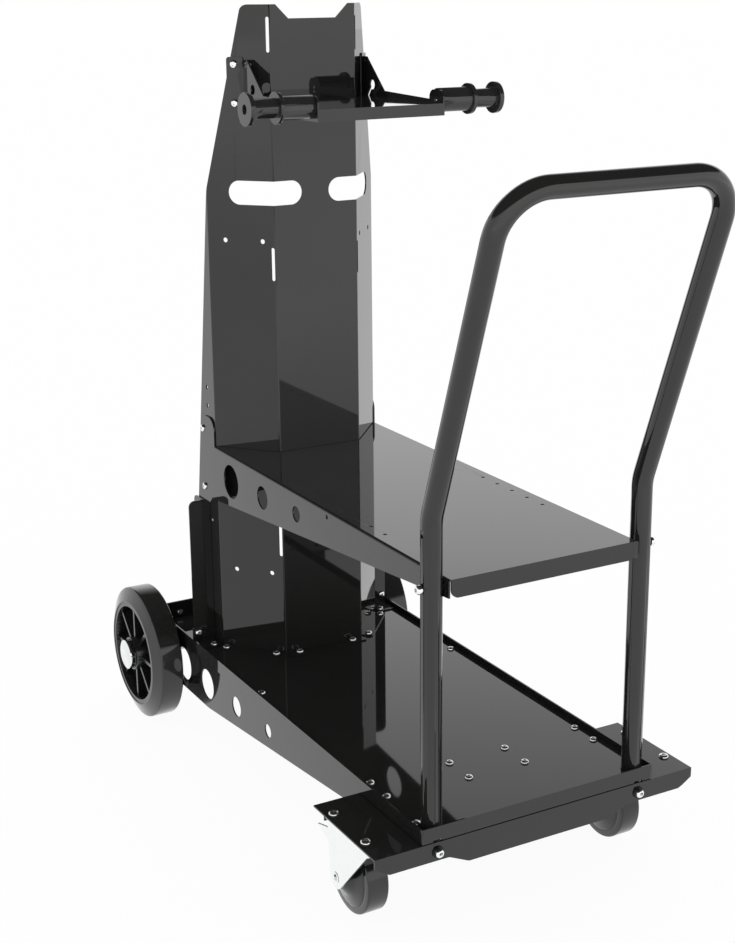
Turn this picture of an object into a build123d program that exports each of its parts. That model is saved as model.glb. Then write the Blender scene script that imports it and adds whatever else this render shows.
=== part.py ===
from build123d import *
import os
from math import cos, radians, sin, tan

os.makedirs("parts", exist_ok=True)

# Welding-machine trolley. Millimetres, +Z up, floor at Z = 0.
# The handle and casters face -Y, the bottle platform and big wheels are at +Y.
# Right-hand pieces (+X) are built in place and mirrored to make the left ones.

# ---- sheet stock and clearances
sheet = 2.0
fold_in_r = 1.0
fit_gap = 0.05
side_gap = 0.4
hole_gap = 0.2
tube_hole_gap = 0.4
caster_run_gap = 0.4
panel_gap = 1.0

# ---- tray
floor_z = 144.0
tray_half_w = 165.0
tray_front_y = -369.5
tray_rear_y = 398.0
rim_top_z = 151.6
rim_bottom_z = 133.0
rear_wall_z = 170.0
rear_wall_half_w = 164.0

# ---- front crossmember, an inverted channel
beam_z = 131.6
beam_half_w = 226.5
beam_rear_y = -219.9
beam_flange_z = 108.0
beam_deep_z = 95.5
beam_deep_half_w = 101.0
beam_shoulder_x = 128.0
beam_end_z = 119.3
beam_end_cut = 13.1
beam_end_step = 6.5
beam_end_rise = 3.0
beam_rear_half_w = 213.0
beam_curve_r = 12.0

# ---- side rails
rail_rear_y = 420.0
rail_low_z = 59.5
rail_knee_y = 241.0
rail_nose_z = 109.0
rail_nose_y = -218.0
rail_flange_w = 25.5
rail_holes = ((327.0, 98.0, 25.0), (242.5, 96.5, 22.25), (141.0, 101.0, 14.5), (39.0, 106.0, 9.5))
rail_tab_w = 20.0
rail_tab_h = 20.0
rail_corner_r = 15.0

# ---- rear axle and wheels
axle_y = 399.0
axle_z = 100.0
axle_r = 10.0
axle_half_l = 228.0
wheel_x = 193.0
wheel_r = 100.0
wheel_half_w = 24.8
tread_half_w = 16.2
bevel_r = 80.0
rim_r = 78.0
rim_lip_r = 72.0
rim_half_w = 24.0
web_half_t = 7.0
rib_count = 8
rib_t = 5.0
rib_half_w = 20.0
hub_r = 25.0
hub_out = 27.0
hub_in = 28.0
bush_t = 3.0
cap_r = 22.0
cap_rim_t = 8.0
cap_dome = 3.0

# ---- casters
caster_x = 185.5
caster_y = -290.0
caster_plate_l = 94.0
caster_plate_w = 78.0
caster_plate_t = 3.0
caster_bolt_l = 78.0
caster_bolt_w = 60.0
race_r = 34.0
race_h = 5.0
kingpin_r = 6.0
kingpin_head_r = 11.0
kingpin_head_h = 6.0
fork_half_w = 31.2
fork_t = 2.5
fork_top_z = 118.0
fork_crown_t = 3.0
fork_crown_l = 100.0
fork_crown_shift = 4.0
caster_trail = 34.0
caster_r = 50.0
caster_tread_half_w = 13.75
caster_core_r = 41.0
caster_hub_r = 13.0
caster_pin_r = 6.0
caster_pin_bore_r = 4.0
caster_pin_lip_w = 1.0
caster_pin_lip_t = 0.6

# ---- back panel
panel_y = 185.3
panel_fold_x = 62.8
wing_angle = 49.0
wing_l = 98.8
panel_top_z = 1048.0
wing_top_l = 40.4
knee_z = 793.0
flange_bottom_l = 101.6
notch_top_half_w = 53.5
notch_half_w = 35.0
notch_z = 1030.0
strap_slot_w = 5.0
strap_slot_l = 45.0
strap_slot_along = 3.2
strap_slot_z = (1010.0, 710.0, 315.0)
hand_slot_z = 805.0
hand_slot_r = 16.0
hand_slot_x = 36.0
hand_slot_along = 50.0
panel_hole_r = 3.25
panel_hole_spots = ((18.0, 740.5), (73.0, 740.5), (18.0, 265.7), (73.0, 265.7))
flange_hole_spots = ((284.0, 528.0), (284.0, 501.5), (284.0, 330.5))
foot_w = 16.0
fold_relief_r = 4.0

# ---- shelf
shelf_z = 447.5
shelf_half_w = 130.0
shelf_front_y = -368.9
shelf_lip_z = 425.0
shelf_side_rear_z = 363.2
ear_front_y = 260.0
ear_rear_y = 306.0
ear_top_z = 486.0
ear_r = 18.0
lip_r = 10.0
lip_relief = 1.5
shelf_side_holes = ((206.6, 408.8, 24.0), (105.3, 413.0, 16.0), (4.1, 418.5, 10.75), (-82.0, 439.0, 3.0))
shelf_row_x = 113.0
shelf_row_ys = (-62.0, -96.0, -130.0, -164.0, -198.0)
shelf_row_r = 2.5
ear_bolt_y = 297.5
ear_bolt_zs = (465.8, 379.1)

# ---- handle
tube_r = 12.5
tube_t = 2.0
leg_washer_t = 1.0
leg_y = -354.5
leg_foot_z = 110.0
leg_bend_z = 517.0
bar_y = -486.5
bar_z = 883.0
bend_r = 54.0
leg_shelf_z = 437.5
leg_beam_z = 119.5
leg_pilot_z = 498.5
leg_pilot_r = 2.5

# ---- cable bracket and bobbins
bracket_half_w = 90.0
bracket_z = 927.0
bracket_lip_z = 912.0
bracket_top_z = 978.0
bracket_low_z = 935.0
ear_rest_drop = 4.0
keyhole_y = 183.0
keyhole_z = 941.5
keyhole_r = 6.5
keyslot_w = 4.0
keyslot_run = 7.5
keyslot_drop = 9.0
pilot_y = 204.0
pilot_z = 972.0
pilot_r = 1.5
tab_top_z = 982.0
tab_corner_r = 4.0
gusset_rear_y = 213.0
gusset_knee_y = 199.0
gusset_toe_y = 152.0
bobbin_ear_top_z = 943.0
bobbin_ear_l = 34.0
tab_start = 38.0
tab_end = 62.0
bracket_bolt_along = 51.0
bracket_bolt_zs = (972.8, 922.7)
bobbin_y = 18.0
bobbin_z = 930.0
bobbin_steps = ((44.0, 15.0), (5.0, 19.5), (34.0, 12.0), (6.0, 20.0))
bobbin_bore_r = 6.0
bobbin_seat_t = 32.0
bobbin_screw_r = 2.5

# ---- bottle guards
guard_y = 288.0
guard_half_w = 161.0
guard_top_z = 362.0
guard_corner_r = 9.0
guard_foot_l = 30.0
guard_return_l = 52.0
guard_return_top_z = 355.0
guard_return_bottom_z = 150.0
guard_tab_w = 16.0
guard_tab_h = 24.0

# ---- fasteners
dome_rise = 0.85
dome_reach = 0.6
socket_share = 0.45
socket_depth = 0.6
m6_r = 3.0
m6_head_r = 5.25
m6_head_h = 3.3
m6_nut_flat = 10.0
m6_nut_h = 5.0
m8_r = 4.0
m8_head_r = 6.3
m8_head_h = 3.3
m8_nut_flat = 13.0
m8_nut_h = 6.4
cap_head_r = 5.5
cap_head_h = 6.0
collar_r = 7.5
collar_t = 1.4
thread_stub = 2.0
insert_set = 2.0
tray_screw_spots = ((152.0, 79.0), (152.0, -226.0), (152.0, -266.0), (154.5, -339.5))
cross_screw_spots = ((41.0, -229.0), (41.0, -274.0))
foot_screw_spots = ((43.5, 178.0), (76.0, 188.0), (128.6, 246.4))
guard_foot_spot = (139.6, 266.0)
guard_face_spot = (154.0, 160.0)
guard_side_spot = (320.0, 300.0)
rear_wall_spot = (139.6, 152.0)

# ---- levels that follow from the values above
fold_out_r = fold_in_r + sheet
floor_low_z = floor_z - sheet
flange_low_z = floor_low_z - sheet
beam_low_z = beam_z - sheet
rail_x = tray_half_w - sheet
rail_in_x = rail_x - sheet
leg_x = shelf_half_w + leg_washer_t + tube_r
tray_mid_y = (tray_front_y + tray_rear_y) / 2
tray_l = tray_rear_y - tray_front_y
rim_in_y = tray_front_y + sheet
beam_mid_y = (tray_front_y + beam_rear_y) / 2
beam_l = beam_rear_y - tray_front_y
rail_flange_x = rail_x - rail_flange_w - sheet
wing_dx = cos(radians(wing_angle))
wing_dy = sin(radians(wing_angle))
fold_x = panel_fold_x + wing_l * wing_dx
fold_y = panel_y + wing_l * wing_dy
wing_plane = Plane(
    origin=(panel_fold_x, panel_y, 0),
    x_dir=(wing_dx, wing_dy, 0),
    z_dir=(wing_dy, -wing_dx, 0),
)
axle_plane = Plane(origin=(0, axle_y, axle_z), x_dir=(0, 1, 0), z_dir=(1, 0, 0))
caster_plate_low_z = beam_low_z - caster_plate_t
race_low_z = caster_plate_low_z - race_h
caster_wheel_y = caster_y + caster_trail
caster_bolt_spots = [
    (caster_x + sx * caster_bolt_w / 2, caster_y + sy * caster_bolt_l / 2)
    for sx in (-1, 1)
    for sy in (-1, 1)
]
m6_hole_r = m6_r + hole_gap
m8_hole_r = m8_r + hole_gap
leg_hole_r = tube_r + tube_hole_gap


def is_at(vertex, x, y):
    """Whether a corner of a sketch stands at this spot on either side."""
    return abs(abs(vertex.X) - x) < fit_gap and abs(vertex.Y - y) < fit_gap


def both_sides(spots):
    """The same spots on both sides of the middle plane."""
    return [(side * x, y) for x, y in spots for side in (-1, 1)]


def finish(name, part):
    """Label one piece and write it."""
    part.label = name
    export_step(part, "parts/" + name + ".step")


def mirrored(part):
    """The left-hand copy of a right-hand piece."""
    with BuildPart() as copy:
        mirror(part, about=Plane.YZ)
    return copy.part


def socket_screw(radius, head_r, head_h, length):
    """A round-head socket screw: head above the local XY plane, shank below."""
    with BuildPart() as screw:
        with BuildSketch():
            Circle(head_r)
        extrude(amount=head_h)
        fillet(screw.edges().sort_by(Axis.Z)[-1], min(dome_rise * head_h, dome_reach * head_r))
        with BuildSketch(Plane.XY.offset(head_h)):
            RegularPolygon(socket_share * head_r, 6)
        extrude(amount=-socket_depth * head_h, mode=Mode.SUBTRACT)
        with BuildSketch():
            Circle(radius)
        extrude(amount=-length)
    return screw.part


def hex_nut(radius, flat, height):
    """A hexagon nut below the local XY plane."""
    with BuildPart() as nut:
        with BuildSketch():
            RegularPolygon(flat / 2, 6, major_radius=False, rotation=30)
            Circle(radius + fit_gap, mode=Mode.SUBTRACT)
        extrude(amount=-height)
    return nut.part


def ring(inner, outer, height):
    """A washer or collar above the local XY plane."""
    with BuildPart() as washer:
        with BuildSketch():
            Circle(outer)
            Circle(inner, mode=Mode.SUBTRACT)
        extrude(amount=height)
    return washer.part


def grouped(part, places):
    """Copies of one fastener, each a separate solid."""
    with BuildPart() as group:
        with Locations(*places):
            add(part)
    return group.part


def upright(spots, height):
    """Places on a level face, pointing up."""
    return [Plane(origin=(x, y, height), x_dir=(1, 0, 0), z_dir=(0, 0, 1)) for x, y in spots]


def sideways(spots, face_x):
    """Places on both outer side faces, pointing outward; spots are (Y, Z)."""
    return [
        Plane(origin=(side * face_x, y, z), x_dir=(0, 0, 1), z_dir=(side, 0, 0))
        for y, z in spots
        for side in (-1, 1)
    ]


def frontal(spots, face_y):
    """Places on a face that looks forward; spots are (X, Z)."""
    return [
        Plane(origin=(x, face_y, z), x_dir=(0, 0, 1), z_dir=(0, -1, 0))
        for x, z in both_sides(spots)
    ]


def on_wings(spots, height):
    """Places on both wings of the back panel; spots are (along, Z)."""
    places = []
    for along, z in spots:
        x = panel_fold_x + along * wing_dx + height * wing_dy
        y = panel_y + along * wing_dy - height * wing_dx
        for side in (-1, 1):
            places.append(
                Plane(origin=(side * x, y, z), x_dir=(0, 0, 1), z_dir=(side * wing_dy, -wing_dx, 0))
            )
    return places


# ---- tray: floor, folded rim, rear wall and two upright tabs
with BuildPart() as base_tray:
    with BuildSketch(Plane.XY.offset(floor_low_z)) as tray_floor:
        with Locations((0, tray_mid_y)):
            Rectangle(2 * tray_half_w, tray_l)
        fillet(tray_floor.vertices().group_by(Axis.Y)[0], fold_out_r)
    extrude(amount=sheet)
    with BuildSketch(Plane.XY.offset(rim_bottom_z)):
        add(tray_floor.sketch.faces()[0].moved(Location((0, 0, -floor_low_z))))
        with Locations((0, tray_mid_y + sheet)):
            Rectangle(2 * rail_x, tray_l, mode=Mode.SUBTRACT)
    extrude(amount=rim_top_z - rim_bottom_z)
    with BuildSketch(Plane.XZ.offset(-tray_rear_y)) as rear_wall:
        with Locations((0, floor_low_z)):
            Rectangle(2 * rear_wall_half_w, rear_wall_z - floor_low_z, align=(Align.CENTER, Align.MIN))
        fillet(rear_wall.vertices().group_by(Axis.Y)[-1], sheet)
    extrude(amount=sheet)
    with BuildSketch(Plane.XZ.offset(-guard_y - sheet)):
        with Locations(*both_sides([(guard_face_spot[0], floor_low_z)])):
            Rectangle(guard_tab_w, guard_tab_h, align=(Align.CENTER, Align.MIN))
    extrude(amount=-sheet)
    with BuildSketch(Plane.XY.offset(floor_z)):
        with Locations(*both_sides([(leg_x, leg_y)])):
            Circle(leg_hole_r)
        with Locations(*both_sides(tray_screw_spots + cross_screw_spots + foot_screw_spots)):
            Circle(m6_hole_r)
        with Locations(*both_sides([guard_foot_spot])):
            Circle(m6_hole_r)
    extrude(amount=-sheet, mode=Mode.SUBTRACT)
    with BuildSketch(Plane.XZ.offset(-rim_in_y)):
        with Locations(*both_sides([(leg_x, rim_bottom_z)])):
            Rectangle(tube_r, 2 * sheet)
    extrude(amount=sheet, mode=Mode.SUBTRACT)
    with Locations(*frontal([rear_wall_spot], tray_rear_y)):
        Cylinder(m6_hole_r, 4 * sheet, mode=Mode.SUBTRACT)
    with Locations(*frontal([guard_face_spot], guard_y + sheet)):
        Cylinder(m6_hole_r, 4 * sheet, mode=Mode.SUBTRACT)
finish("base_tray", base_tray.part)

# ---- right side rail: web, top flange, rear tab, lightening holes
with BuildPart() as side_rail_right:
    with BuildSketch(Plane.YZ.offset(rail_in_x)) as web:
        with BuildLine():
            Polyline(
                (rim_in_y, floor_low_z),
                (rim_in_y, beam_z),
                (rail_nose_y, beam_z),
                (rail_nose_y, rail_nose_z),
                (rail_knee_y, rail_low_z),
                (rail_rear_y, rail_low_z),
                (rail_rear_y, floor_low_z),
                close=True,
            )
        make_face()
        fillet(web.vertices().group_by(Axis.X)[-1].sort_by(Axis.Y)[0], rail_corner_r)
        for hole_y, hole_z, hole_r in rail_holes:
            with Locations((hole_y, hole_z)):
                Circle(hole_r, mode=Mode.SUBTRACT)
        with Locations((axle_y, axle_z)):
            Circle(axle_r + fit_gap, mode=Mode.SUBTRACT)
        for spot in caster_bolt_spots[:2]:
            with Locations((spot[1], beam_z)):
                Rectangle(2 * m8_head_r + 2 * sheet, 2 * m8_head_h + sheet, mode=Mode.SUBTRACT)
    extrude(amount=sheet)
    with BuildSketch(Plane.XY.offset(flange_low_z)):
        with Locations((rail_x, rim_in_y)):
            Rectangle(rail_x - rail_flange_x, rail_rear_y - rim_in_y, align=(Align.MAX, Align.MIN))
        with Locations((leg_x, leg_y)):
            Circle(leg_hole_r, mode=Mode.SUBTRACT)
        with Locations(*tray_screw_spots, guard_foot_spot):
            Circle(m6_hole_r, mode=Mode.SUBTRACT)
    extrude(amount=sheet)
    with BuildSketch(Plane.XZ.offset(-tray_rear_y)):
        with Locations((rail_flange_x, flange_low_z)):
            Rectangle(rail_tab_w, rail_tab_h, align=(Align.MIN, Align.MIN))
        with Locations(rear_wall_spot):
            Circle(m6_hole_r, mode=Mode.SUBTRACT)
    extrude(amount=-sheet)
finish("side_rail_right", side_rail_right.part)
finish("side_rail_left", mirrored(side_rail_right.part))

# ---- front crossmember
with BuildPart() as front_crossmember:
    with BuildSketch(Plane.XY.offset(beam_low_z)):
        with Locations((0, beam_mid_y)):
            Rectangle(2 * beam_half_w, beam_l)
        with Locations(*both_sides([(leg_x, leg_y)])):
            Circle(leg_hole_r, mode=Mode.SUBTRACT)
        with Locations(*both_sides(caster_bolt_spots)):
            Circle(m8_hole_r, mode=Mode.SUBTRACT)
        with Locations(*both_sides(cross_screw_spots)):
            Circle(m6_hole_r, mode=Mode.SUBTRACT)
    extrude(amount=sheet)
    with BuildSketch(Plane.XZ.offset(-rim_in_y)) as front_flange:
        with BuildLine():
            half = (
                (beam_half_w, beam_z),
                (beam_half_w, beam_end_z),
                (beam_half_w - beam_end_cut, beam_flange_z + beam_end_rise),
                (beam_half_w - beam_end_cut - beam_end_step, beam_flange_z),
                (beam_shoulder_x, beam_flange_z),
                (beam_deep_half_w, beam_deep_z),
            )
            Polyline(*half, *[(-x, z) for x, z in reversed(half)], close=True)
        make_face()
        shoulders = front_flange.vertices().filter_by(lambda v: abs(v.X) < beam_shoulder_x + 1)
        fillet(shoulders, beam_curve_r)
        with Locations(*both_sides([(leg_x, leg_beam_z)])):
            Circle(m6_hole_r, mode=Mode.SUBTRACT)
    extrude(amount=sheet)
    with BuildSketch(Plane.XZ.offset(-beam_rear_y)):
        with Locations((0, beam_z)):
            Rectangle(2 * beam_rear_half_w, beam_z - beam_flange_z, align=(Align.CENTER, Align.MAX))
    extrude(amount=sheet)
finish("front_crossmember", front_crossmember.part)

# ---- back panel: centre, two wings, tapering side flanges, folded feet
panel_back_fold_x = panel_fold_x - sheet * tan(radians(wing_angle / 2))
fold_back_y = fold_y + sheet * tan(radians((90 - wing_angle) / 2))
flange_rear_y = fold_y + flange_bottom_l
with BuildPart() as back_panel:
    with BuildSketch(Plane.XY.offset(floor_z)) as folds:
        with BuildLine():
            half = (
                (panel_fold_x, panel_y),
                (fold_x, fold_y),
                (fold_x, flange_rear_y),
                (fold_x - sheet, flange_rear_y),
                (fold_x - sheet, fold_back_y),
                (panel_back_fold_x, panel_y + sheet),
            )
            left = [(-x, y) for x, y in reversed(half)]
            Polyline(*half, *left, close=True)
        make_face()
        fillet(folds.vertices().filter_by(lambda v: is_at(v, panel_fold_x, panel_y)), fold_out_r)
        fillet(folds.vertices().filter_by(lambda v: is_at(v, panel_back_fold_x, panel_y + sheet)), fold_in_r)
        fillet(folds.vertices().filter_by(lambda v: is_at(v, fold_x, fold_y)), fold_out_r)
        fillet(folds.vertices().filter_by(lambda v: is_at(v, fold_x - sheet, fold_back_y)), fold_in_r)
    extrude(amount=panel_top_z - floor_z)
    with BuildSketch(Plane.YZ) as side_shape:
        with BuildLine():
            Polyline(
                (panel_y - sheet, floor_z),
                (flange_rear_y, floor_z),
                (fold_back_y + sheet, knee_z),
                (panel_y + wing_top_l * wing_dy, panel_top_z),
                (panel_y - sheet, panel_top_z),
                close=True,
            )
        make_face()
        top_corner = side_shape.vertices().group_by(Axis.Y)[-1].sort_by(Axis.X)[-1]
        fillet(top_corner, guard_corner_r)
    extrude(amount=tray_half_w, both=True, mode=Mode.INTERSECT)
    with BuildSketch(Plane.XZ.offset(-panel_y)):
        with BuildLine():
            Polyline(
                (-notch_top_half_w, panel_top_z),
                (-notch_half_w, notch_z),
                (notch_half_w, notch_z),
                (notch_top_half_w, panel_top_z),
                close=True,
            )
        make_face()
        for side in (-1, 1):
            with Locations((side * hand_slot_x, hand_slot_z)):
                Circle(hand_slot_r)
            with Locations((side * (hand_slot_x + panel_fold_x) / 2, hand_slot_z)):
                Rectangle(panel_fold_x - hand_slot_x, 2 * hand_slot_r)
    extrude(amount=2 * sheet, both=True, mode=Mode.SUBTRACT)
    for plane in (wing_plane, Plane(
        origin=(-panel_fold_x, panel_y, 0),
        x_dir=(-wing_dx, wing_dy, 0),
        z_dir=(wing_dy, wing_dx, 0),
    )):
        with BuildSketch(plane):
            with Locations(*[(strap_slot_along, z) for z in strap_slot_z]):
                SlotOverall(strap_slot_l, strap_slot_w, rotation=90)
            with Locations((hand_slot_along, hand_slot_z)):
                Circle(hand_slot_r)
            with Locations((hand_slot_along / 2 - sheet, hand_slot_z)):
                Rectangle(hand_slot_along + 2 * sheet, 2 * hand_slot_r)
            with Locations(*panel_hole_spots):
                Circle(panel_hole_r)
            with Locations(*[(bracket_bolt_along, z) for z in bracket_bolt_zs]):
                Circle(m6_hole_r)
        extrude(amount=2.5 * sheet, both=True, mode=Mode.SUBTRACT)
    with Locations(*sideways(flange_hole_spots, fold_x)):
        Cylinder(panel_hole_r, 4 * sheet, mode=Mode.SUBTRACT)
    with Locations(*sideways([(ear_bolt_y, z) for z in ear_bolt_zs] + [guard_side_spot], fold_x)):
        Cylinder(m6_hole_r, 4 * sheet, mode=Mode.SUBTRACT)
    with BuildSketch(Plane.XY.offset(floor_z)):
        with Locations((0, panel_y + sheet / 2)):
            Rectangle(2 * panel_back_fold_x, foot_w + sheet / 2, align=(Align.CENTER, Align.MAX))
        for side in (-1, 1):
            with BuildLine():
                start_x = panel_fold_x + fold_relief_r * wing_dx
                start_y = panel_y + fold_relief_r * wing_dy
                end_x = fold_x - sheet * wing_dx
                end_y = fold_y - sheet * wing_dy
                toe_x = foot_w * wing_dy
                toe_y = foot_w * wing_dx
                Polyline(
                    (side * start_x, start_y),
                    (side * end_x, end_y),
                    (side * (end_x + toe_x), end_y - toe_y),
                    (side * (start_x + toe_x), start_y - toe_y),
                    close=True,
                )
            make_face()
    extrude(amount=sheet)
    with BuildSketch(Plane.XY.offset(floor_z)):
        with Locations(*both_sides(foot_screw_spots)):
            Circle(m6_hole_r)
    extrude(amount=sheet, mode=Mode.SUBTRACT)
finish("back_panel", back_panel.part)

# ---- shelf: top, front lip, pierced side plates with bolted ears
contour_x = panel_fold_x + panel_gap * (1 - wing_dx) / wing_dy
shelf_edge_y = panel_y - panel_gap + (shelf_half_w - contour_x) * tan(radians(wing_angle))
with BuildPart() as shelf:
    with BuildSketch(Plane.XY.offset(shelf_z - sheet)):
        with BuildLine():
            half = (
                (shelf_half_w, shelf_front_y),
                (shelf_half_w, shelf_edge_y),
                (contour_x, panel_y - panel_gap),
            )
            Polyline(*half, *[(-x, y) for x, y in reversed(half)], close=True)
        make_face()
        with Locations(*both_sides([(shelf_row_x, y) for y in shelf_row_ys])):
            Circle(shelf_row_r, mode=Mode.SUBTRACT)
    extrude(amount=sheet)
    with BuildSketch(Plane.XZ.offset(-shelf_front_y)) as lip:
        with Locations((0, shelf_z)):
            Rectangle(
                2 * (shelf_half_w - sheet - lip_relief),
                shelf_z - shelf_lip_z,
                align=(Align.CENTER, Align.MAX),
            )
        fillet(lip.vertices().group_by(Axis.Y)[0], lip_r)
    extrude(amount=-sheet)
    with BuildSketch(Plane.YZ.offset(shelf_half_w - sheet)) as side_plate:
        with BuildLine():
            Polyline(
                (shelf_front_y, shelf_lip_z + 1),
                (shelf_front_y, shelf_z),
                (ear_front_y, shelf_z),
                (ear_front_y, ear_top_z),
                (ear_rear_y, ear_top_z),
                (ear_rear_y, shelf_side_rear_z),
                close=True,
            )
        make_face()
        fillet(side_plate.vertices().group_by(Axis.Y)[-1], ear_r)
        fillet(side_plate.vertices().sort_by(Axis.Y)[0], lip_r)
        for hole_y, hole_z, hole_r in shelf_side_holes:
            with Locations((hole_y, hole_z)):
                Circle(hole_r, mode=Mode.SUBTRACT)
        with Locations((leg_y, leg_shelf_z), *[(ear_bolt_y, z) for z in ear_bolt_zs]):
            Circle(m6_hole_r, mode=Mode.SUBTRACT)
    extrude(amount=sheet)
    mirror(extrude(side_plate.sketch, amount=sheet, mode=Mode.PRIVATE), about=Plane.YZ)
    with BuildSketch(Plane.XZ.offset(-shelf_front_y)):
        with Locations(*both_sides([(shelf_half_w - fold_out_r / 2, shelf_z - fold_out_r / 2)])):
            Rectangle(fold_out_r, fold_out_r)
        with Locations(*both_sides([(shelf_half_w - fold_out_r, shelf_z - fold_out_r)])):
            Circle(fold_out_r, mode=Mode.SUBTRACT)
    extrude(amount=shelf_front_y - ear_front_y, mode=Mode.SUBTRACT)
finish("shelf", shelf.part)

# ---- handle: one bent tube
with BuildPart() as handle_tube:
    with BuildLine() as handle_path:
        FilletPolyline(
            (leg_x, leg_y, leg_foot_z),
            (leg_x, leg_y, leg_bend_z),
            (leg_x, bar_y, bar_z),
            (-leg_x, bar_y, bar_z),
            (-leg_x, leg_y, leg_bend_z),
            (-leg_x, leg_y, leg_foot_z),
            radius=bend_r,
        )
    with BuildSketch(Plane(origin=(leg_x, leg_y, leg_foot_z), z_dir=(0, 0, 1))):
        Circle(tube_r)
        Circle(tube_r - tube_t, mode=Mode.SUBTRACT)
    sweep()
    with Locations(*sideways([(leg_y, leg_shelf_z)], leg_x)):
        Cylinder(m6_hole_r, 3 * tube_r, mode=Mode.SUBTRACT)
    with Locations(*frontal([(leg_x, leg_beam_z)], leg_y - tube_r)):
        Cylinder(m6_hole_r, tube_r, mode=Mode.SUBTRACT)
    with Locations(*sideways([(leg_y, leg_pilot_z)], leg_x + tube_r)):
        Cylinder(leg_pilot_r, tube_r, mode=Mode.SUBTRACT)
finish("handle_tube", handle_tube.part)

# ---- cable bracket: top plate, lip, gussets with bobbin ears, wing tabs
with BuildPart() as cable_bracket:
    with BuildSketch(Plane.XY.offset(bracket_z - sheet)):
        with BuildLine():
            half = (
                (bracket_half_w, 0),
                (bracket_half_w, gusset_rear_y),
                (contour_x, panel_y - panel_gap),
            )
            Polyline(*half, *[(-x, y) for x, y in reversed(half)], close=True)
        make_face()
    extrude(amount=sheet)
    with BuildSketch(Plane.XZ) as bracket_lip:
        with Locations((0, bracket_z)):
            Rectangle(2 * bracket_half_w, bracket_z - bracket_lip_z, align=(Align.CENTER, Align.MAX))
    extrude(amount=-sheet)
    with BuildSketch(Plane.YZ.offset(bracket_half_w - sheet)) as gusset:
        with BuildLine():
            Polyline(
                (0, bracket_lip_z),
                (0, bobbin_ear_top_z),
                (bobbin_ear_l, bobbin_ear_top_z),
                (bobbin_ear_l, bracket_low_z - ear_rest_drop),
                (gusset_toe_y, bracket_low_z),
                (gusset_knee_y, bracket_top_z),
                (gusset_rear_y, bracket_top_z),
                (gusset_rear_y, bracket_lip_z),
                close=True,
            )
        make_face()
        ear_corners = gusset.vertices().filter_by(lambda v: v.X < bobbin_ear_l + 1)
        fillet(ear_corners.filter_by(lambda v: v.Y > bobbin_ear_top_z - 1), lip_r)
        with Locations((bobbin_y, bobbin_z)):
            Circle(bobbin_screw_r + fit_gap, mode=Mode.SUBTRACT)
        with Locations((keyhole_y, keyhole_z)):
            Circle(keyhole_r, mode=Mode.SUBTRACT)
            SlotCenterPoint((keyslot_run, -keyslot_drop), (0, 0), keyslot_w, mode=Mode.SUBTRACT)
        with Locations((pilot_y, pilot_z)):
            Circle(pilot_r, mode=Mode.SUBTRACT)
    extrude(amount=sheet)
    mirror(extrude(gusset.sketch, amount=sheet, mode=Mode.PRIVATE), about=Plane.YZ)
    with BuildPart(mode=Mode.PRIVATE) as wing_tab:
        with BuildSketch(wing_plane):
            with Locations(((tab_start + tab_end) / 2, (bracket_lip_z + tab_top_z) / 2)):
                RectangleRounded(tab_end - tab_start, tab_top_z - bracket_lip_z, tab_corner_r)
            with Locations(*[(bracket_bolt_along, z) for z in bracket_bolt_zs]):
                Circle(m6_hole_r, mode=Mode.SUBTRACT)
        extrude(amount=sheet)
    add(wing_tab.part)
    mirror(wing_tab.part, about=Plane.YZ)
finish("cable_bracket", cable_bracket.part)

# ---- cable bobbins, turned about the X axis
with BuildPart() as cable_bobbin_right:
    with BuildSketch(Plane(origin=(bracket_half_w, bobbin_y, bobbin_z), x_dir=(1, 0, 0), z_dir=(0, -1, 0))):
        step_x = 0
        for step_l, step_r in bobbin_steps:
            with Locations((step_x, 0)):
                Rectangle(step_l, step_r, align=(Align.MIN, Align.MIN))
            step_x += step_l
    revolve(axis=Axis((0, bobbin_y, bobbin_z), (1, 0, 0)))
    with Locations(Plane(origin=(bracket_half_w + bobbin_seat_t, bobbin_y, bobbin_z), z_dir=(1, 0, 0))):
        Cylinder(bobbin_bore_r, step_x, align=(Align.CENTER, Align.CENTER, Align.MIN), mode=Mode.SUBTRACT)
    with Locations(Plane(origin=(bracket_half_w, bobbin_y, bobbin_z), z_dir=(1, 0, 0))):
        Cylinder(bobbin_screw_r + fit_gap, 2 * bobbin_seat_t, mode=Mode.SUBTRACT)
finish("cable_bobbin_right", cable_bobbin_right.part)
finish("cable_bobbin_left", mirrored(cable_bobbin_right.part))

# ---- bottle guard: face plate, folded foot and side return
guard_in_x = fold_x + side_gap
with BuildPart() as bottle_guard_right:
    with BuildSketch(Plane.XZ.offset(-guard_y - sheet)) as guard_face:
        with Locations((guard_in_x, floor_z)):
            Rectangle(guard_half_w - guard_in_x, guard_top_z - floor_z, align=(Align.MIN, Align.MIN))
        fillet(guard_face.vertices().group_by(Axis.Y)[-1], guard_corner_r)
        with Locations(guard_face_spot):
            Circle(m6_hole_r, mode=Mode.SUBTRACT)
    extrude(amount=sheet)
    with BuildSketch(Plane.XY.offset(floor_z)) as guard_foot:
        with Locations((guard_in_x + guard_corner_r / 3, guard_y)):
            Rectangle(
                guard_half_w - guard_in_x - guard_corner_r / 3,
                guard_foot_l,
                align=(Align.MIN, Align.MAX),
            )
        with Locations(guard_foot_spot):
            Circle(m6_hole_r, mode=Mode.SUBTRACT)
    extrude(amount=sheet)
    with BuildSketch(Plane.YZ.offset(guard_in_x)) as guard_return:
        with Locations((guard_y + sheet, guard_return_bottom_z)):
            Rectangle(
                guard_return_l,
                guard_return_top_z - guard_return_bottom_z,
                align=(Align.MIN, Align.MIN),
            )
        fillet(guard_return.vertices().group_by(Axis.X)[-1], guard_corner_r)
        with Locations(guard_side_spot):
            Circle(m6_hole_r, mode=Mode.SUBTRACT)
    extrude(amount=sheet)
finish("bottle_guard_right", bottle_guard_right.part)
finish("bottle_guard_left", mirrored(bottle_guard_right.part))

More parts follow.
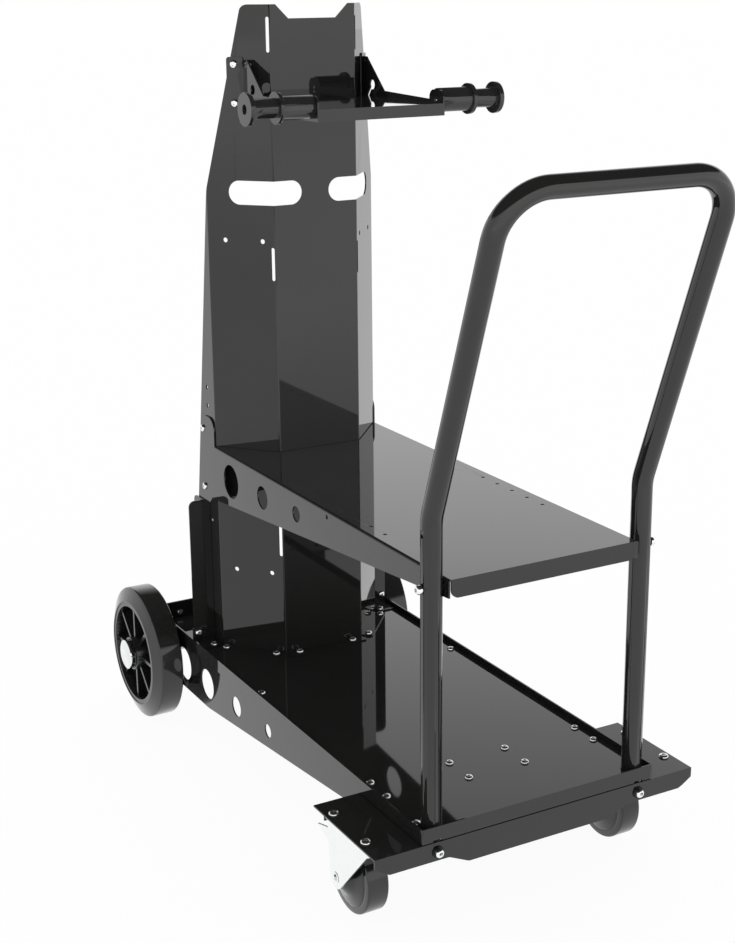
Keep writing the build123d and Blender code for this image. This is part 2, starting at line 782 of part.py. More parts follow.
# ---- rear axle, washers and caps
with BuildPart() as rear_axle:
    with BuildSketch(axle_plane.offset(-axle_half_l)):
        Circle(axle_r)
    extrude(amount=2 * axle_half_l)
finish("rear_axle", rear_axle.part)

washer_l = wheel_x - hub_in - rail_x - 2 * side_gap
with BuildPart() as axle_washers:
    with BuildSketch(axle_plane.offset(rail_x + side_gap)):
        Circle(axle_r * 1.7)
        Circle(axle_r + fit_gap, mode=Mode.SUBTRACT)
    extrude(amount=washer_l)
    mirror(axle_washers.part, about=Plane.YZ)
finish("axle_washers", axle_washers.part)

cap_x = wheel_x + hub_out + 2 * side_gap
with BuildPart() as axle_cap_right:
    with BuildSketch(Plane(origin=(0, axle_y, axle_z), x_dir=(1, 0, 0), z_dir=(0, -1, 0))):
        with BuildLine():
            Line((cap_x, 0), (cap_x, cap_r))
            Line((cap_x, cap_r), (cap_x + cap_rim_t, cap_r))
            Spline(
                (cap_x + cap_rim_t, cap_r),
                (cap_x + cap_rim_t + cap_dome, 0),
                tangents=((0.6, -1), (0, -1)),
            )
            Line((cap_x + cap_rim_t + cap_dome, 0), (cap_x, 0))
        make_face()
    revolve(axis=Axis((0, axle_y, axle_z), (1, 0, 0)))
    with BuildSketch(axle_plane.offset(cap_x)):
        Circle(axle_r + fit_gap)
    extrude(amount=axle_half_l - cap_x + fit_gap, mode=Mode.SUBTRACT)
finish("axle_cap_right", axle_cap_right.part)
finish("axle_cap_left", mirrored(axle_cap_right.part))

# ---- rear wheel: tyre, ribbed rim, bush
wheel_section = Plane(origin=(wheel_x, axle_y, axle_z), x_dir=(1, 0, 0), z_dir=(0, -1, 0))
wheel_axis = Axis((0, axle_y, axle_z), (1, 0, 0))
with BuildPart() as rear_tyre_right:
    with BuildSketch(wheel_section) as tyre_section:
        with BuildLine():
            half = ((wheel_half_w, rim_r), (wheel_half_w, bevel_r), (tread_half_w, wheel_r))
            Polyline(*half, *[(-x, r) for x, r in reversed(half)], close=True)
        make_face()
        fillet(tyre_section.vertices().group_by(Axis.Y)[-1], 3)
    revolve(axis=wheel_axis)
finish("rear_tyre_right", rear_tyre_right.part)
finish("rear_tyre_left", mirrored(rear_tyre_right.part))

with BuildPart() as rear_rim_right:
    with BuildSketch(wheel_section):
        with Locations((-rim_half_w, rim_lip_r)):
            Rectangle(2 * rim_half_w, rim_r - fit_gap - rim_lip_r, align=(Align.MIN, Align.MIN))
        with Locations((-web_half_t, hub_r - 1)):
            Rectangle(2 * web_half_t, rim_lip_r - hub_r + 2, align=(Align.MIN, Align.MIN))
        with Locations((-hub_in, axle_r + bush_t + fit_gap)):
            Rectangle(hub_in + hub_out, hub_r - axle_r - bush_t - fit_gap, align=(Align.MIN, Align.MIN))
    revolve(axis=wheel_axis)
    with BuildSketch(axle_plane.offset(wheel_x - rib_half_w)):
        with PolarLocations(0, rib_count):
            with Locations((hub_r - 1, 0)):
                Rectangle(rim_lip_r - hub_r + 2, rib_t, align=(Align.MIN, Align.CENTER))
    extrude(amount=2 * rib_half_w)
finish("rear_rim_right", rear_rim_right.part)
finish("rear_rim_left", mirrored(rear_rim_right.part))

with BuildPart() as wheel_bush_right:
    with BuildSketch(axle_plane.offset(wheel_x - hub_in)):
        Circle(axle_r + bush_t)
        Circle(axle_r + fit_gap, mode=Mode.SUBTRACT)
    extrude(amount=hub_in + hub_out)
finish("wheel_bush_right", wheel_bush_right.part)
finish("wheel_bush_left", mirrored(wheel_bush_right.part))

# ---- caster top plate with upper race and kingpin
caster_plane = Plane(origin=(caster_x, caster_y, 0), z_dir=(0, 0, 1))
kingpin_low_z = fork_top_z - fork_crown_t - caster_run_gap
with BuildPart() as caster_plate_right:
    with BuildSketch(caster_plane.offset(caster_plate_low_z)):
        RectangleRounded(caster_plate_w, caster_plate_l, 5)
        with GridLocations(caster_bolt_w, caster_bolt_l, 2, 2):
            Circle(m8_hole_r, mode=Mode.SUBTRACT)
    extrude(amount=caster_plate_t)
    with BuildSketch(caster_plane.offset(race_low_z)):
        Circle(race_r)
    extrude(amount=race_h)
    with BuildSketch(caster_plane.offset(kingpin_low_z)):
        Circle(kingpin_r)
    extrude(amount=race_low_z - kingpin_low_z)
    with BuildSketch(caster_plane.offset(kingpin_low_z - kingpin_head_h)):
        Circle(kingpin_head_r)
    extrude(amount=kingpin_head_h)
    chamfer(caster_plate_right.edges().sort_by(Axis.Z)[0], 1.5)
finish("caster_plate_right", caster_plate_right.part)
finish("caster_plate_left", mirrored(caster_plate_right.part))

# ---- caster fork: crown, lower race, two swept cheeks
cheek_top = ((-47.0, fork_top_z), (54.0, fork_top_z), (51.5, 90.7))
cheek_brim = ((40.0, 90.7), (51.5, 90.7), (80.0, 100.5), (56.0, 107.0), (40.0, 107.0))
cheek_toe_r = 14.5
with BuildPart() as caster_fork_right:
    for side in (-1, 1):
        cheek_x = caster_x + side * (fork_half_w - fork_t / 2)
        with BuildSketch(Plane(origin=(cheek_x, caster_y, 0), x_dir=(0, 1, 0), z_dir=(1, 0, 0))):
            with BuildLine():
                Polyline(*cheek_top)
                CenterArc((caster_trail, caster_r), cheek_toe_r, 0, 360)
            make_hull()
            with BuildLine():
                Polyline(*cheek_brim, close=True)
            make_face()
            with Locations((caster_trail, caster_r)):
                Circle(caster_pin_r + fit_gap, mode=Mode.SUBTRACT)
        extrude(amount=fork_t / 2, both=True)
    with BuildSketch(caster_plane.offset(fork_top_z - fork_crown_t)):
        with Locations((0, fork_crown_shift)):
            Rectangle(2 * fork_half_w, fork_crown_l)
        Circle(kingpin_r + fit_gap, mode=Mode.SUBTRACT)
    extrude(amount=fork_crown_t)
    with BuildSketch(caster_plane.offset(fork_top_z)):
        Circle(race_r - 2)
        Circle(race_r - 12, mode=Mode.SUBTRACT)
    extrude(amount=race_low_z - caster_run_gap - fork_top_z)
finish("caster_fork_right", caster_fork_right.part)
finish("caster_fork_left", mirrored(caster_fork_right.part))

# ---- caster wheel: core and tyre, with its pin in the fork
caster_section = Plane(
    origin=(caster_x, caster_wheel_y, caster_r), x_dir=(1, 0, 0), z_dir=(0, -1, 0)
)
caster_axis = Axis((0, caster_wheel_y, caster_r), (1, 0, 0))
caster_hub_half_w = fork_half_w - fork_t - 1.5 * caster_run_gap
with BuildPart() as caster_core_right:
    with BuildSketch(caster_section):
        with BuildLine():
            half = (
                (caster_hub_half_w, caster_pin_r + fit_gap),
                (caster_hub_half_w, caster_hub_r),
                (caster_tread_half_w + 6, caster_core_r * 0.62),
                (caster_tread_half_w + 1, caster_core_r - fit_gap),
            )
            Polyline(*half, *[(-x, r) for x, r in reversed(half)], close=True)
        make_face()
    revolve(axis=caster_axis)
finish("caster_core_right", caster_core_right.part)
finish("caster_core_left", mirrored(caster_core_right.part))

with BuildPart() as caster_tyre_right:
    with BuildSketch(caster_section) as caster_tyre_section:
        with BuildLine():
            half = (
                (caster_tread_half_w + 1, caster_core_r),
                (caster_tread_half_w, caster_r),
            )
            Polyline(*half, *[(-x, r) for x, r in reversed(half)], close=True)
        make_face()
        fillet(caster_tyre_section.vertices().group_by(Axis.Y)[-1], 2.5)
    revolve(axis=caster_axis)
finish("caster_tyre_right", caster_tyre_right.part)
finish("caster_tyre_left", mirrored(caster_tyre_right.part))

pin_plane = Plane(origin=(caster_x, caster_wheel_y, caster_r), x_dir=(0, 1, 0), z_dir=(1, 0, 0))
with BuildPart() as caster_pin_right:
    with BuildSketch(pin_plane):
        Circle(caster_pin_r)
        Circle(caster_pin_bore_r, mode=Mode.SUBTRACT)
    extrude(amount=fork_half_w, both=True)
    for side in (-1, 1):
        with BuildSketch(pin_plane.offset(side * fork_half_w)):
            Circle(caster_pin_r + caster_pin_lip_w)
            Circle(caster_pin_bore_r, mode=Mode.SUBTRACT)
        extrude(amount=side * caster_pin_lip_t)
finish("caster_pin_right", caster_pin_right.part)
finish("caster_pin_left", mirrored(caster_pin_right.part))

# ---- fasteners
m6_reach = m6_nut_h + thread_stub
m6_nut = hex_nut(m6_r, m6_nut_flat, m6_nut_h)
m8_nut = hex_nut(m8_r, m8_nut_flat, m8_nut_h)


def m6_screw(grip):
    """A round-head screw that clamps this thickness and leaves room for a nut."""
    return socket_screw(m6_r, m6_head_r, m6_head_h, grip + m6_reach)


two_sheets = 2 * sheet
three_sheets = 3 * sheet
tray_spots = both_sides(tray_screw_spots)
finish("tray_screws", grouped(m6_screw(two_sheets), upright(tray_spots, floor_z)))
finish("tray_nuts", grouped(m6_nut, upright(tray_spots, flange_low_z)))

cross_spots = both_sides(cross_screw_spots)
cross_grip = floor_z - beam_low_z
finish("crossmember_screws", grouped(m6_screw(cross_grip), upright(cross_spots, floor_z)))
finish("crossmember_nuts", grouped(m6_nut, upright(cross_spots, beam_low_z)))
spacer = ring(m6_r + fit_gap, m6_head_r, floor_low_z - beam_z)
finish("crossmember_spacers", grouped(spacer, upright(cross_spots, beam_z)))

foot_spots = both_sides(foot_screw_spots)
finish("panel_foot_screws", grouped(m6_screw(two_sheets), upright(foot_spots, floor_z + sheet)))
finish("panel_foot_nuts", grouped(m6_nut, upright(foot_spots, floor_low_z)))

plate_spots = both_sides(caster_bolt_spots)
plate_grip = sheet + caster_plate_t
plate_screw = socket_screw(m8_r, m8_head_r, m8_head_h, plate_grip + m8_nut_h + 0.5)
finish("caster_plate_screws", grouped(plate_screw, upright(plate_spots, beam_z)))
finish("caster_plate_nuts", grouped(m8_nut, upright(plate_spots, caster_plate_low_z)))

ear_spots = [(ear_bolt_y, z) for z in ear_bolt_zs]
ear_grip = shelf_half_w - fold_x + sheet
finish("shelf_screws", grouped(m6_screw(ear_grip), sideways(ear_spots, shelf_half_w)))
finish("shelf_nuts", grouped(m6_nut, sideways(ear_spots, fold_x - sheet)))

leg_spots = [(leg_y, leg_shelf_z)]
leg_out_x = leg_x + tube_r
leg_grip = leg_out_x + collar_t - shelf_half_w + sheet
leg_screw = socket_screw(m6_r, cap_head_r, cap_head_h, leg_grip + m6_reach)
finish("handle_screws", grouped(leg_screw, sideways(leg_spots, leg_out_x + collar_t)))
leg_washer = ring(m6_r + fit_gap, cap_head_r, leg_washer_t)
outer_washer = ring(m6_r + fit_gap, cap_head_r, collar_t)
with BuildPart() as handle_washers:
    add(grouped(leg_washer, sideways(leg_spots, shelf_half_w)))
    add(grouped(outer_washer, sideways(leg_spots, leg_out_x)))
finish("handle_washers", handle_washers.part)
finish("handle_nuts", grouped(m6_nut, sideways(leg_spots, shelf_half_w - sheet)))

beam_spots = [(leg_x, leg_beam_z)]
insert_y = leg_y - tube_r + tube_t + insert_set
beam_screw = socket_screw(m6_r, cap_head_r, cap_head_h, insert_y - tray_front_y + collar_t + m6_reach)
finish("handle_foot_screws", grouped(beam_screw, frontal(beam_spots, tray_front_y - collar_t)))
beam_collar = ring(m6_r + fit_gap, collar_r, collar_t)
finish("handle_foot_collars", grouped(beam_collar, frontal(beam_spots, tray_front_y)))
finish("handle_foot_nuts", grouped(m6_nut, frontal(beam_spots, insert_y)))

wing_spots = [(bracket_bolt_along, z) for z in bracket_bolt_zs]
finish("bracket_screws", grouped(m6_screw(two_sheets), on_wings(wing_spots, sheet)))
finish("bracket_nuts", grouped(m6_nut, on_wings(wing_spots, -sheet)))

bobbin_screw = socket_screw(bobbin_screw_r, bobbin_bore_r - 1, 5, bobbin_seat_t + sheet + 1)
bobbin_spots = [(bobbin_y, bobbin_z)]
finish("bobbin_screws", grouped(bobbin_screw, sideways(bobbin_spots, bracket_half_w + bobbin_seat_t)))

guard_foot_spots = both_sides([guard_foot_spot])
with BuildPart() as guard_screws:
    add(grouped(m6_screw(three_sheets), upright(guard_foot_spots, floor_z + sheet)))
    add(grouped(m6_screw(two_sheets), frontal([guard_face_spot], guard_y)))
    add(grouped(m6_screw(side_gap + two_sheets), sideways([guard_side_spot], guard_in_x + sheet)))
finish("guard_screws", guard_screws.part)
with BuildPart() as guard_nuts:
    add(grouped(m6_nut, upright(guard_foot_spots, flange_low_z)))
    add(grouped(m6_nut, frontal([guard_face_spot], guard_y + two_sheets)))
    add(grouped(m6_nut, sideways([guard_side_spot], fold_x - sheet)))
finish("guard_nuts", guard_nuts.part)

wall_face_y = tray_rear_y - sheet
finish("rear_wall_screws", grouped(m6_screw(two_sheets), frontal([rear_wall_spot], wall_face_y)))
finish("rear_wall_nuts", grouped(m6_nut, frontal([rear_wall_spot], tray_rear_y + sheet)))
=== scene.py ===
import math
import bpy
from mathutils import Matrix, Vector

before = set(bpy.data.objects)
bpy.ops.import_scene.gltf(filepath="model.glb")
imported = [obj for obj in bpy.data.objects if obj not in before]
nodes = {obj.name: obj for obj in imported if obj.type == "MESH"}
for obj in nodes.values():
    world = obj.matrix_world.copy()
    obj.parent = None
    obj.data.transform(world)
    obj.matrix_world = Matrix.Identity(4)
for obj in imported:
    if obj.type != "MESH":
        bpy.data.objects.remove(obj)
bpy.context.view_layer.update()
print("frame loaded:", len(nodes), "nodes")


def linearColour(hexText):
    parts = [int(hexText[i:i + 2], 16) / 255 for i in (1, 3, 5)]
    return [p / 12.92 if p <= 0.04045 else ((p + 0.055) / 1.055) ** 2.4 for p in parts] + [1]


def perMetre(millimetres):
    return 1000 / millimetres  # texture scale for a pattern of this size


# Settings and links go by a socket's name or number, and a node that is linked from
# without naming a socket gives its first output.
def addNode(tree, kind, settings=None, links=None):
    node = tree.nodes.new(kind)
    for name, value in (settings or {}).items():
        if isinstance(name, int) or name in node.inputs:
            node.inputs[name].default_value = value
        else:
            setattr(node, name, value)
    for name, source in (links or {}).items():
        if isinstance(source, bpy.types.Node):
            source = source.outputs[0]
        tree.links.new(source, node.inputs[name])
    return node


def newMaterial(name):
    material = bpy.data.materials.new(name)
    material.use_nodes = True
    material.node_tree.nodes.clear()
    return material


# Powder-coated steel: polyester powder sprayed on the folded sheet and baked. It flows to a
# deep gloss black that mirrors the room, with slightly uneven gloss and a faint orange peel.
powderCoat = {
    "name": "powderCoatedSteel",
    "dark": "#1a1b1a",
    "light": "#222321",
    "patchMm": 90,
    "patchDetail": 3,
    "roughLow": 0.022,
    "roughHigh": 0.05,
    "reliefMm": 3.2,  # real peel is 1 to 3 mm, drawn a little coarser so that it shows
    "reliefDetail": 1,
    "reliefHeight": 0.0000016,
    "reliefStrength": 1.0,
    "shader": {"IOR": 1.5, "Metallic": 0.0},
}

# Moulded ABS: black plastic from a polished mould, so it is nearly as glossy as the paint,
# with soft flow marks in both its tone and its surface.
mouldedAbs = {
    "name": "mouldedAbs",
    "dark": "#1f201f",
    "light": "#282927",
    "patchMm": 14,
    "patchDetail": 2,
    "roughLow": 0.03,
    "roughHigh": 0.07,
    "reliefHeight": 0.000002,
    "reliefStrength": 1.0,
    "shader": {"IOR": 1.53, "Metallic": 0.0},
}

# Glass-filled nylon: the wheel centres are moulded from it. The filler gives a fine grain
# and a duller shine than the paint, so the recesses stay dark.
glassFilledNylon = {
    "name": "glassFilledNylon",
    "dark": "#131413",
    "light": "#1c1d1c",
    "patchMm": 1.2,
    "patchDetail": 4,
    "roughLow": 0.16,
    "roughHigh": 0.26,
    "reliefHeight": 0.000008,
    "reliefStrength": 0.6,
    "shader": {"IOR": 1.53, "Metallic": 0.0},
}

# Vulcanised rubber: a solid tyre cured in a smooth mould. New rubber is dark grey and
# shines, with dusty patches a little lighter than the rest and a very fine grain.
vulcanisedRubber = {
    "name": "vulcanisedRubber",
    "dark": "#1c1d1c",
    "light": "#252624",
    "patchMm": 35,
    "patchDetail": 5,
    "roughLow": 0.05,
    "roughHigh": 0.12,
    "reliefMm": 0.9,
    "reliefDetail": 2,
    "reliefHeight": 0.000006,
    "reliefStrength": 0.7,
    "shader": {"IOR": 1.52, "Metallic": 0.0},
}

# Zinc-plated steel: pressed or headed steel, electroplated bright. It is a light silver with
# a soft shine and small crystals that change its gloss from spot to spot.
zincPlate = {
    "name": "zincPlatedSteel",
    "dark": "#dfe1e2",
    "light": "#f1f2f2",
    "patchMm": 2.5,
    "patchDetail": 3,
    "roughLow": 0.1,
    "roughHigh": 0.2,
    "reliefHeight": 0.0000015,
    "reliefStrength": 0.5,
    "shader": {"Metallic": 1.0},
}

# Bright pressed steel: the axle caps, drawn in a polished die. They are smooth and light,
# with a faint haze from handling.
pressedSteel = {
    "name": "brightPressedSteel",
    "dark": "#d2d4d5",
    "light": "#eceded",
    "patchMm": 12,
    "patchDetail": 3,
    "roughLow": 0.07,
    "roughHigh": 0.16,
    "shader": {"Metallic": 1.0},
}

# Blackened steel: washers dipped hot in salts. A thin oxide leaves them nearly black with a
# dull metal shine.
blackenedSteel = {
    "name": "blackenedSteel",
    "dark": "#202122",
    "light": "#343536",
    "patchMm": 4,
    "patchDetail": 3,
    "roughLow": 0.25,
    "roughHigh": 0.4,
    "shader": {"Metallic": 1.0},
}


# Patches of noise change the tone and the gloss together. The relief is a finer noise of its
# own, or the same patches where a finish gives no size for it.
def makeFinish(s):
    material = newMaterial(s["name"])
    tree = material.node_tree
    where = addNode(tree, "ShaderNodeTexCoord").outputs["Object"]
    patches = addNode(
        tree,
        "ShaderNodeTexNoise",
        {"Scale": perMetre(s["patchMm"]), "Detail": s["patchDetail"]},
        {"Vector": where},
    )
    tone = addNode(
        tree,
        "ShaderNodeMix",
        {"data_type": "RGBA", 6: linearColour(s["dark"]), 7: linearColour(s["light"])},
        {0: patches},
    )
    rough = addNode(
        tree, "ShaderNodeMapRange", {"To Min": s["roughLow"], "To Max": s["roughHigh"]}, {"Value": patches}
    )
    surface = {"Base Color": tone.outputs[2], "Roughness": rough}
    if "reliefHeight" in s:
        relief = patches
        if "reliefMm" in s:
            relief = addNode(
                tree,
                "ShaderNodeTexNoise",
                {"Scale": perMetre(s["reliefMm"]), "Detail": s["reliefDetail"]},
                {"Vector": where},
            )
        surface["Normal"] = addNode(
            tree,
            "ShaderNodeBump",
            {"Strength": s["reliefStrength"], "Distance": s["reliefHeight"]},
            {"Height": relief},
        )
    shader = addNode(tree, "ShaderNodeBsdfPrincipled", s["shader"], surface)
    addNode(tree, "ShaderNodeOutputMaterial", None, {"Surface": shader})
    return material


# Turned steel: bar from the lathe, left bare. Fine rings from the tool run round it and
# stretch the highlights across them.
turnedSteel = {
    "dark": "#9a9c9e",
    "light": "#c4c6c8",
    "ringMm": 2.76,  # real feed marks are 0.2 mm, drawn coarser so that they show
    "ringWobble": 0.4,
    "ringDetail": 2,
    "ringHeight": 0.00001,
    "ringStrength": 0.5,
    "shader": {"Metallic": 1.0, "Roughness": 0.24},
}
bandsPerUnit = 20 / (2 * math.pi)  # bands that a wave texture draws in one unit at scale 1


def makeTurnedSteel():
    s = turnedSteel
    material = newMaterial("turnedSteel")
    tree = material.node_tree
    where = addNode(tree, "ShaderNodeTexCoord").outputs["Object"]
    rings = addNode(
        tree,
        "ShaderNodeTexWave",
        {
            "bands_direction": "X",
            "Scale": perMetre(s["ringMm"]) / bandsPerUnit,
            "Distortion": s["ringWobble"],
            "Detail": s["ringDetail"],
        },
        {"Vector": where},
    ).outputs["Fac"]
    tone = addNode(
        tree,
        "ShaderNodeMix",
        {"data_type": "RGBA", 6: linearColour(s["dark"]), 7: linearColour(s["light"])},
        {0: rings},
    )
    bump = addNode(
        tree,
        "ShaderNodeBump",
        {"Strength": s["ringStrength"], "Distance": s["ringHeight"]},
        {"Height": rings},
    )
    shader = addNode(
        tree, "ShaderNodeBsdfPrincipled", s["shader"], {"Base Color": tone.outputs[2], "Normal": bump}
    )
    addNode(tree, "ShaderNodeOutputMaterial", None, {"Surface": shader})
    return material


# Which finish each group of nodes gets, by the start of its name. Screws, nuts, spacers and
# everything that is not named here are zinc plated.
coatedSheet = (
    "base_tray", "side_rail", "front_crossmember", "back_panel", "shelf", "handle_tube",
    "cable_bracket", "bottle_guard",
)
finishes = (
    (makeFinish(powderCoat), coatedSheet),
    (makeFinish(mouldedAbs), ("cable_bobbin",)),
    (makeFinish(glassFilledNylon), ("rear_rim", "caster_core", "wheel_bush")),
    (makeFinish(vulcanisedRubber), ("rear_tyre", "caster_tyre")),
    (makeTurnedSteel(), ("rear_axle",)),
    (makeFinish(pressedSteel), ("axle_cap",)),
    (makeFinish(blackenedSteel), ("handle_foot_collars", "handle_washers")),
)
zincPlated = makeFinish(zincPlate)


def finishFor(name):
    if name.endswith(("_screws", "_nuts", "_spacers")):
        return zincPlated
    for material, starts in finishes:
        if name.startswith(starts):
            return material
    return zincPlated


for name, node in nodes.items():
    node.data.materials.clear()
    node.data.materials.append(finishFor(name))
print("materials set")

# Soft edges: a sheared and coated edge is rounded, and so catches a thin line of light.
edges = {"sheetMm": 0.85, "partMm": 0.35, "weldMm": 0.002, "segments": 2, "angle": 32}
for name, node in nodes.items():
    weld = node.modifiers.new("weld", "WELD")
    weld.merge_threshold = edges["weldMm"] / 1000
    bevel = node.modifiers.new("edge", "BEVEL")
    bevel.width = (edges["sheetMm"] if name.startswith(coatedSheet) else edges["partMm"]) / 1000
    bevel.segments = edges["segments"]
    bevel.limit_method = "ANGLE"
    bevel.angle_limit = math.radians(edges["angle"])
    bevel.harden_normals = True
print("edges softened")


# A white studio. The camera and diffuse light see it plain white. What the gloss black
# mirrors is uneven: lit walls below a dark ceiling with a soft line between, one tall lit
# wall at the far right that shines in the level sheets, and a floor that is brighter to the
# front and has one dim spot on the right.
studio = {
    "floorSize": 60,
    "floorColour": "#f7f7f6",
    "floorPatch": "#f4f4f3",
    "floorMottleMm": 700,
    "floorGlow": 0.95,  # share of its own light as the camera sees it, which leaves faint shadows
    "floorLight": 1.15,
    "frontFloorGain": 0.42,
    "frontFloorFrom": -0.8,
    "frontFloorTo": -3.0,
    "dimSpot": (1.0, 0.15, 0.0),
    "dimRadius": 0.75,
    "dimLoss": 0.95,
    "wallColour": "#ffffff",
    "wallLight": 1.1,
    "frontGain": 0.55,
    "rightLoss": 0.05,
    "ceilingLight": 0.03,
    "ceilingFrom": math.sin(math.radians(17)),
    "ceilingTo": math.sin(math.radians(24)),
    "tallWallTowards": (0.5, 0.866, 0.0),
    "tallWallFrom": 0.62,
    "tallWallTo": 0.78,
    "tallWallGain": 0.3,
    "tallWallFadeFrom": 0.33,
    "tallWallFade": 3.6,
}


def makeFloor():
    s = studio
    mesh = bpy.data.meshes.new("studioFloor")
    half = s["floorSize"] / 2
    corners = [(-half, -half, 0), (half, -half, 0), (half, half, 0), (-half, half, 0)]
    mesh.from_pydata(corners, [], [(0, 1, 2, 3)])
    floor = bpy.data.objects.new("studioFloor", mesh)
    bpy.context.scene.collection.objects.link(floor)
    material = newMaterial("paintedFloor")
    tree = material.node_tree
    where = addNode(tree, "ShaderNodeTexCoord").outputs["Object"]
    mottle = addNode(
        tree, "ShaderNodeTexNoise", {"Scale": perMetre(s["floorMottleMm"])}, {"Vector": where}
    )
    tone = addNode(
        tree,
        "ShaderNodeMix",
        {"data_type": "RGBA", 6: linearColour(s["floorPatch"]), 7: linearColour(s["floorColour"])},
        {0: mottle},
    )
    matt = addNode(tree, "ShaderNodeBsdfDiffuse", None, {"Color": tone.outputs[2]})
    away = addNode(tree, "ShaderNodeVectorMath", {"operation": "DISTANCE", 1: s["dimSpot"]}, {0: where})
    outsideSpot = addNode(
        tree,
        "ShaderNodeMapRange",
        {
            "interpolation_type": "SMOOTHSTEP",
            "From Max": s["dimRadius"],
            "To Min": s["floorLight"] - s["dimLoss"],
            "To Max": s["floorLight"],
        },
        {"Value": away.outputs["Value"]},
    )
    depth = addNode(tree, "ShaderNodeSeparateXYZ", None, {0: where}).outputs["Y"]
    front = addNode(
        tree,
        "ShaderNodeMapRange",
        {
            "interpolation_type": "SMOOTHSTEP",
            "From Min": s["frontFloorFrom"],
            "From Max": s["frontFloorTo"],
            "To Max": s["frontFloorGain"],
        },
        {"Value": depth},
    )
    mirroredLight = addNode(tree, "ShaderNodeMath", {"operation": "ADD"}, {0: outsideSpot, 1: front})
    change = addNode(tree, "ShaderNodeMath", {"operation": "SUBTRACT", 1: 1.0}, {0: mirroredLight})
    path = addNode(tree, "ShaderNodeLightPath").outputs
    light = addNode(
        tree,
        "ShaderNodeMath",
        {"operation": "MULTIPLY_ADD", 2: 1.0},
        {0: path["Is Glossy Ray"], 1: change},
    )
    glow = addNode(tree, "ShaderNodeEmission", None, {"Strength": light})
    seen = addNode(
        tree,
        "ShaderNodeMath",
        {"operation": "MAXIMUM"},
        {0: path["Is Camera Ray"], 1: path["Is Glossy Ray"]},
    )
    share = addNode(tree, "ShaderNodeMath", {"operation": "MULTIPLY", 1: s["floorGlow"]}, {0: seen})
    surface = addNode(tree, "ShaderNodeMixShader", None, {0: share, 1: matt, 2: glow})
    addNode(tree, "ShaderNodeOutputMaterial", None, {"Surface": surface})
    mesh.materials.append(material)


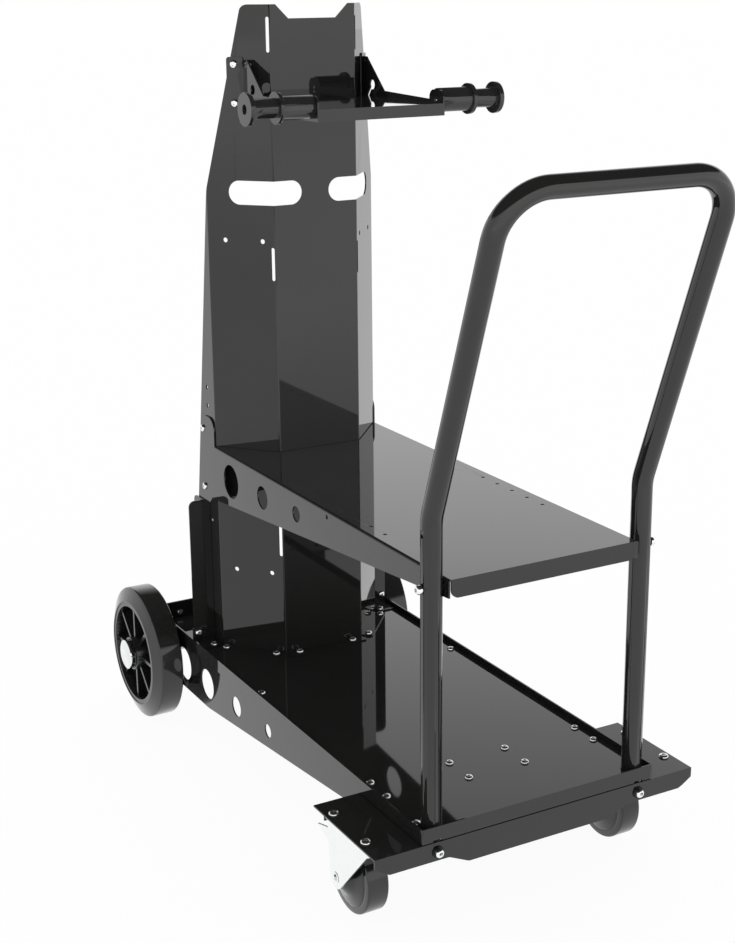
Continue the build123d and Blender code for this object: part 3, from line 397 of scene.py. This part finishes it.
def makeRoom():
    s = studio
    world = bpy.data.worlds.new("studioRoom")
    bpy.context.scene.world = world
    world.use_nodes = True
    tree = world.node_tree
    tree.nodes.clear()
    where = addNode(tree, "ShaderNodeTexCoord").outputs["Generated"]
    part = addNode(tree, "ShaderNodeSeparateXYZ", None, {0: where}).outputs

    # the walls, brighter to the front and a little dimmer to the right
    forward = addNode(tree, "ShaderNodeMath", {"operation": "MINIMUM", 1: 0.0}, {0: part["Y"]})
    front = addNode(
        tree,
        "ShaderNodeMath",
        {"operation": "MULTIPLY_ADD", 1: -s["frontGain"], 2: s["wallLight"]},
        {0: forward},
    )
    walls = addNode(
        tree,
        "ShaderNodeMath",
        {"operation": "MULTIPLY_ADD", 1: -s["rightLoss"]},
        {0: part["X"], 2: front},
    )

    # the tall wall, which is 0 in besideTall and fades with height
    towards = addNode(
        tree, "ShaderNodeVectorMath", {"operation": "DOT_PRODUCT", 1: s["tallWallTowards"]}, {0: where}
    )
    besideTall = addNode(
        tree,
        "ShaderNodeMapRange",
        {
            "interpolation_type": "SMOOTHSTEP",
            "From Min": s["tallWallFrom"],
            "From Max": s["tallWallTo"],
            "To Min": 1.0,
            "To Max": 0.0,
        },
        {"Value": towards.outputs["Value"]},
    )
    onTall = addNode(tree, "ShaderNodeMath", {"operation": "SUBTRACT", 0: 1.0}, {1: besideTall})
    walls = addNode(
        tree,
        "ShaderNodeMath",
        {"operation": "MULTIPLY_ADD", 1: s["tallWallGain"]},
        {0: onTall, 2: walls},
    )
    above = addNode(
        tree, "ShaderNodeMath", {"operation": "SUBTRACT", 1: s["tallWallFadeFrom"]}, {0: part["Z"]}
    )
    above = addNode(tree, "ShaderNodeMath", {"operation": "MAXIMUM", 1: 0.0}, {0: above})
    walls = addNode(
        tree,
        "ShaderNodeMath",
        {"operation": "MULTIPLY_ADD", 1: -s["tallWallFade"]},
        {0: above, 2: walls},
    )
    walls = addNode(tree, "ShaderNodeMath", {"operation": "MAXIMUM", 1: s["ceilingLight"]}, {0: walls})

    # the ceiling, everywhere above the line but over the tall wall
    height = addNode(
        tree,
        "ShaderNodeMapRange",
        {"interpolation_type": "SMOOTHSTEP", "From Min": s["ceilingFrom"], "From Max": s["ceilingTo"]},
        {"Value": part["Z"]},
    )
    dark = addNode(tree, "ShaderNodeMath", {"operation": "MULTIPLY"}, {0: height, 1: besideTall})
    gap = addNode(tree, "ShaderNodeMath", {"operation": "SUBTRACT", 0: s["ceilingLight"]}, {1: walls})
    mirroredLight = addNode(
        tree, "ShaderNodeMath", {"operation": "MULTIPLY_ADD"}, {0: dark, 1: gap, 2: walls}
    )

    change = addNode(tree, "ShaderNodeMath", {"operation": "SUBTRACT", 1: 1.0}, {0: mirroredLight})
    path = addNode(tree, "ShaderNodeLightPath").outputs
    light = addNode(
        tree,
        "ShaderNodeMath",
        {"operation": "MULTIPLY_ADD", 2: 1.0},
        {0: path["Is Glossy Ray"], 1: change},
    )
    room = addNode(
        tree, "ShaderNodeBackground", {"Color": linearColour(s["wallColour"])}, {"Strength": light}
    )
    addNode(tree, "ShaderNodeOutputWorld", None, {"Surface": room})


makeFloor()
makeRoom()
bpy.context.scene.view_settings.view_transform = "Standard"

shot = {
    "place": (-1.0174, -1.7973, 1.0755),
    "look": (0.4625, 0.8389, -0.2868),
    "roll": -0.61,
    "lens": 62.55,
    "sensor": 36,
    "farClip": 200,
}
camera = bpy.data.cameras.new("studioCamera")
camera.lens = shot["lens"]
camera.sensor_width = shot["sensor"]
camera.clip_end = shot["farClip"]
cameraObject = bpy.data.objects.new("studioCamera", camera)
bpy.context.scene.collection.objects.link(cameraObject)
turn = Vector(shot["look"]).to_track_quat("-Z", "Y").to_matrix()
turn = turn @ Matrix.Rotation(math.radians(shot["roll"]), 3, "Z")
cameraObject.matrix_world = Matrix.Translation(shot["place"]) @ turn.to_4x4()
bpy.context.scene.camera = cameraObject
print("studio set")
